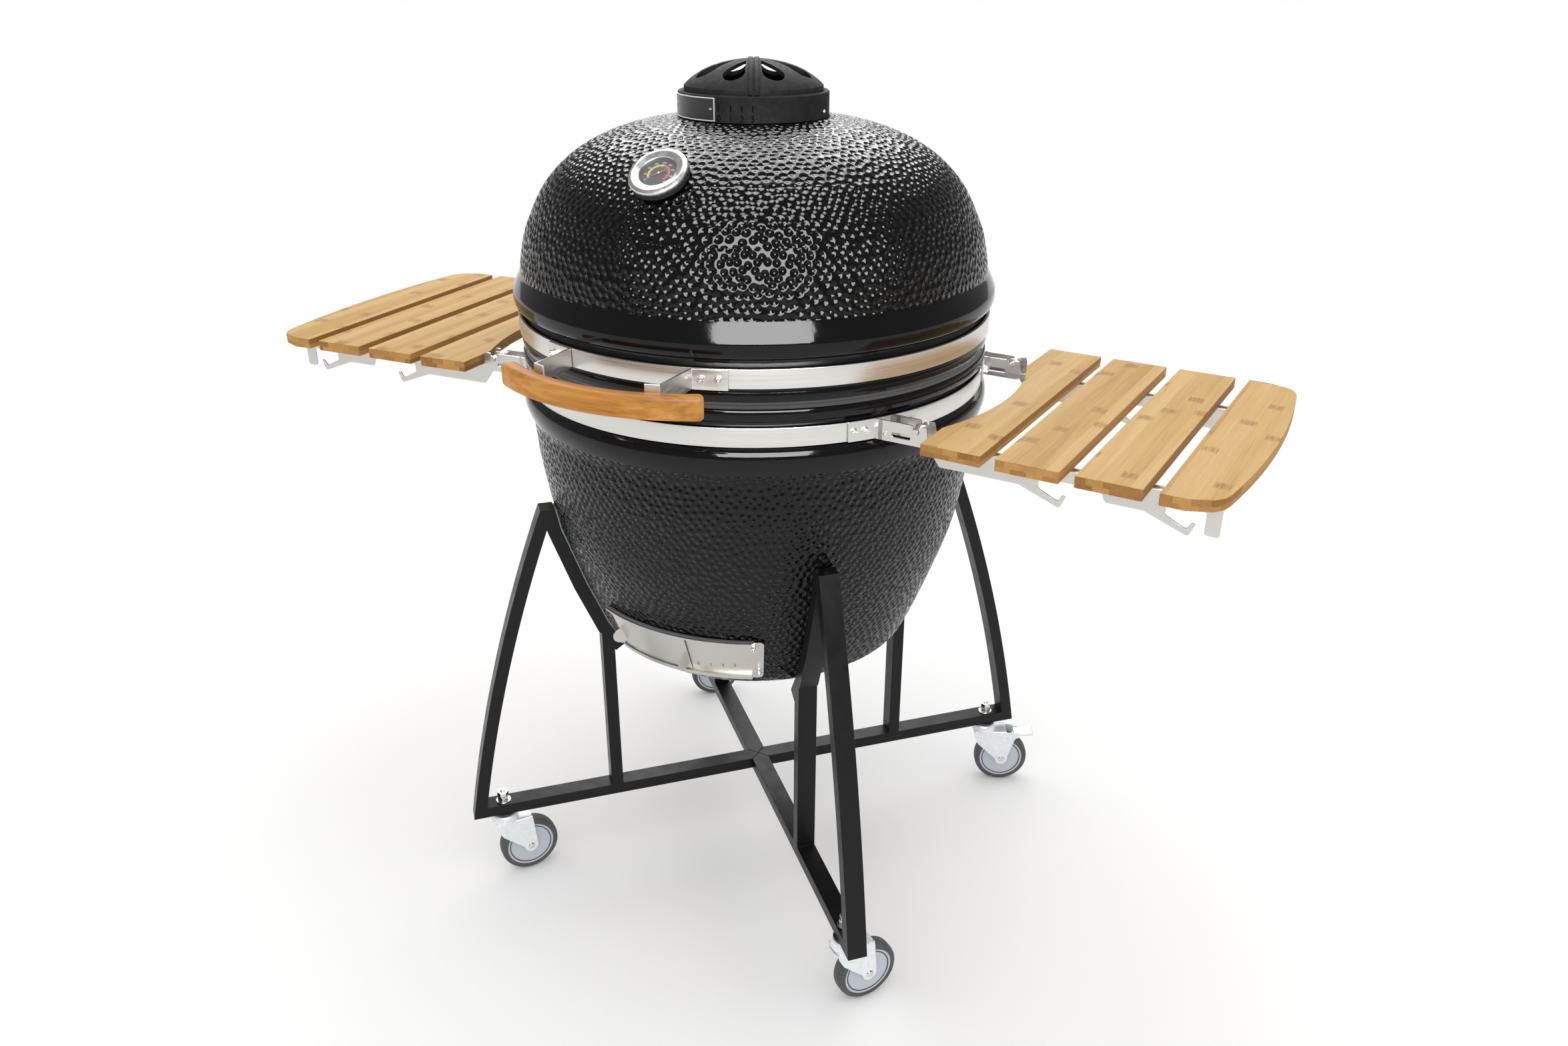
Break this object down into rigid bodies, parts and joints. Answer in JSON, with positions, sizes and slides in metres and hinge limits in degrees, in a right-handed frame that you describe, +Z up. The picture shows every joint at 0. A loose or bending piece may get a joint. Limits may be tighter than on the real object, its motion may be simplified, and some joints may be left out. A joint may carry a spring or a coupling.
{
  "type": "kamado ceramic grill",
  "caption": "Egg-shaped ceramic charcoal grill on a wheeled steel cart, with folding slatted side shelves, top and bottom air vents and a sprung rear hinge.",
  "frame": {"origin": "on the floor, on the axis of the bowl", "axes": "+Z up, -Y the front with the handle and draft door, +X towards the right-hand shelf as seen from the front"},
  "size_m": [1.5552, 0.918, 1.333],
  "materials": {
    "black_ceramic": "gloss",
    "fired_clay": "matte",
    "gasket": "matte",
    "felt": "matte",
    "black_paint": "satin",
    "zinc": "satin",
    "rubber": "matte",
    "bamboo": "satin",
    "hardwood": "satin",
    "cast_iron": "matte",
    "glass": "gloss",
    "dial_paint": "matte",
    "needle_paint": "satin",
    "brushed_steel": "satin"
  },
  "bodies": {
    "base": {"base_band": "brushed_steel", "base_bowl": "black_ceramic", "base_gasket": "gasket", "cart_frame_back_left": "black_paint", "cart_frame_back_right": "black_paint", "cart_frame_front_left": "black_paint", "cart_frame_front_right": "black_paint", "charcoal_grate": "cast_iron", "cooking_grate": "brushed_steel", "draft_frame": "brushed_steel", "fire_box": "fired_clay", "fire_ring": "fired_clay", "hinge_bracket_lower": "brushed_steel", "hinge_pin": "brushed_steel", "hinge_spring_left": "brushed_steel", "hinge_spring_right": "brushed_steel", "saddle_pad_back_left": "felt", "saddle_pad_back_right": "felt", "saddle_pad_front_left": "felt", "saddle_pad_front_right": "felt", "shelf_mount_left_back": "brushed_steel", "shelf_mount_left_front": "brushed_steel", "shelf_mount_right_back": "brushed_steel", "shelf_mount_right_front": "brushed_steel"},
    "lid": {"lid_dome": "black_ceramic", "lid_gasket": "gasket", "lid_band": "brushed_steel", "hinge_bracket_upper": "brushed_steel", "handle_bracket_left": "brushed_steel", "handle_bracket_right": "brushed_steel", "handle_grip": "hardwood", "vent_ring": "cast_iron", "thermometer_case": "brushed_steel", "thermometer_dial": "dial_paint", "thermometer_lens": "glass"},
    "vent_cap": {"vent_cap": "cast_iron"},
    "thermometer_needle": {"thermometer_needle": "needle_paint"},
    "draft_door": {"draft_door": "brushed_steel"},
    "shelf_left": {"shelf_slat_left_1": "bamboo", "shelf_slat_left_2": "bamboo", "shelf_slat_left_3": "bamboo", "shelf_slat_left_4": "bamboo", "shelf_arm_left_front": "brushed_steel", "shelf_arm_left_back": "brushed_steel"},
    "shelf_right": {"shelf_slat_right_1": "bamboo", "shelf_slat_right_2": "bamboo", "shelf_slat_right_3": "bamboo", "shelf_slat_right_4": "bamboo", "shelf_arm_right_front": "brushed_steel", "shelf_arm_right_back": "brushed_steel"},
    "fork_front_left": {"caster_fork_front_left": "zinc"},
    "wheel_front_left": {"caster_wheel_front_left": "rubber"},
    "fork_front_right": {"caster_fork_front_right": "zinc"},
    "wheel_front_right": {"caster_wheel_front_right": "rubber"},
    "fork_back_right": {"caster_fork_back_right": "zinc"},
    "wheel_back_right": {"caster_wheel_back_right": "rubber"},
    "fork_back_left": {"caster_fork_back_left": "zinc"},
    "wheel_back_left": {"caster_wheel_back_left": "rubber"},
    "brake_back_right": {"caster_brake_back_right": "zinc"},
    "brake_back_left": {"caster_brake_back_left": "zinc"}
  },
  "joints": [
    {"name": "lid_hinge", "type": "hinge", "parent": "base", "child": "lid", "pos_m": [0, 0.405, 0.936], "axis": [-1, 0, 0], "range_deg": [0, 64], "stiffness_Nm_per_rad": 45, "springref_deg": 64, "deforming": ["hinge_spring_left", "hinge_spring_right"]},
    {"name": "vent_cap_turn", "type": "hinge", "parent": "lid", "child": "vent_cap", "pos_m": [0, 0, 1.29], "axis": [0, 0, 1], "range_deg": [-28, 0]},
    {"name": "thermometer_needle_turn", "type": "hinge", "parent": "lid", "child": "thermometer_needle", "pos_m": [0.00829, -0.26387, 1.2011], "axis": [-0.0185, 0.5875, -0.809], "range_deg": [0, 270]},
    {"name": "draft_door_slide", "type": "hinge", "parent": "base", "child": "draft_door", "pos_m": [0, 0, 0.5], "axis": [0, 0, 1], "range_deg": [0, 19]},
    {"name": "shelf_right_fold", "type": "hinge", "parent": "base", "child": "shelf_right", "pos_m": [0.35983, -0.02201, 0.8978], "axis": [0.061, 0.9981, 0], "range_deg": [0, 80]},
    {"name": "shelf_left_fold", "type": "hinge", "parent": "base", "child": "shelf_left", "pos_m": [-0.35983, -0.02201, 0.8978], "axis": [0.061, -0.9981, 0], "range_deg": [0, 80]},
    {"name": "swivel_front_left", "type": "hinge", "parent": "base", "child": "fork_front_left", "pos_m": [-0.32173, -0.32173, 0.12], "axis": [0, 0, 1], "continuous": true},
    {"name": "roll_front_left", "type": "hinge", "parent": "fork_front_left", "child": "wheel_front_left", "pos_m": [-0.30108, -0.29224, 0.05], "axis": [-0.8192, 0.5736, 0], "continuous": true},
    {"name": "swivel_front_right", "type": "hinge", "parent": "base", "child": "fork_front_right", "pos_m": [0.32173, -0.32173, 0.12], "axis": [0, 0, 1], "continuous": true},
    {"name": "roll_front_right", "type": "hinge", "parent": "fork_front_right", "child": "wheel_front_right", "pos_m": [0.34238, -0.29224, 0.05], "axis": [-0.8192, 0.5736, 0], "continuous": true},
    {"name": "swivel_back_right", "type": "hinge", "parent": "base", "child": "fork_back_right", "pos_m": [0.32173, 0.32173, 0.12], "axis": [0, 0, 1], "continuous": true},
    {"name": "roll_back_right", "type": "hinge", "parent": "fork_back_right", "child": "wheel_back_right", "pos_m": [0.35409, 0.33752, 0.05], "axis": [-0.4384, 0.8988, 0], "continuous": true},
    {"name": "brake_back_right", "type": "hinge", "parent": "fork_back_right", "child": "brake_back_right", "pos_m": [0.37746, 0.34891, 0.1015], "axis": [-0.4384, 0.8988, 0], "range_deg": [0, 12]},
    {"name": "swivel_back_left", "type": "hinge", "parent": "base", "child": "fork_back_left", "pos_m": [-0.32173, 0.32173, 0.12], "axis": [0, 0, 1], "continuous": true},
    {"name": "roll_back_left", "type": "hinge", "parent": "fork_back_left", "child": "wheel_back_left", "pos_m": [-0.29416, 0.34487, 0.05], "axis": [-0.6428, 0.766, 0], "continuous": true},
    {"name": "brake_back_left", "type": "hinge", "parent": "fork_back_left", "child": "brake_back_left", "pos_m": [-0.27424, 0.36159, 0.1015], "axis": [-0.6428, 0.766, 0], "range_deg": [0, 12]}
  ]
}
